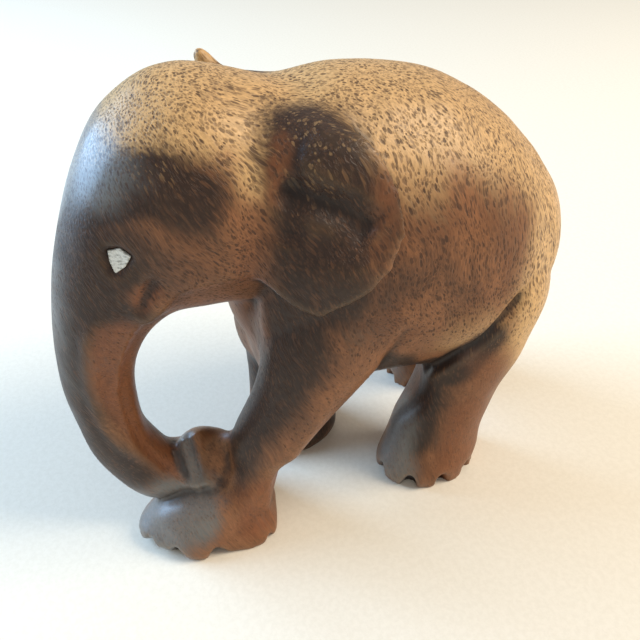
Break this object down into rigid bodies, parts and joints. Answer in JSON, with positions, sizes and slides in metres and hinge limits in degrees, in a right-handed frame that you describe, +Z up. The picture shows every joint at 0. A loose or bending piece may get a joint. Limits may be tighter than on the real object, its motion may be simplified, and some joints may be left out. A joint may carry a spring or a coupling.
{
  "type": "carved wooden elephant",
  "caption": "Small walking elephant carved from flecked wood, with lowered curled trunk, ears in relief and inlaid pale eye chips.",
  "frame": {"origin": "centre of the footprint's bounding box, on the surface the feet stand on", "axes": "+Z up; the elephant faces -Y, so its left side is +X and its length lies along Y"},
  "size_m": [0.0491, 0.0963, 0.0868],
  "materials": {
    "wood": "satin, oiled, with dark flecks along the grain and darker stained face, ears and fore legs",
    "eye_chip": "off-white, lightly scuffed"
  },
  "bodies": {
    "root": {"carved_body": "wood", "left_eye": "eye_chip", "right_eye": "eye_chip"}
  },
  "joints": []
}
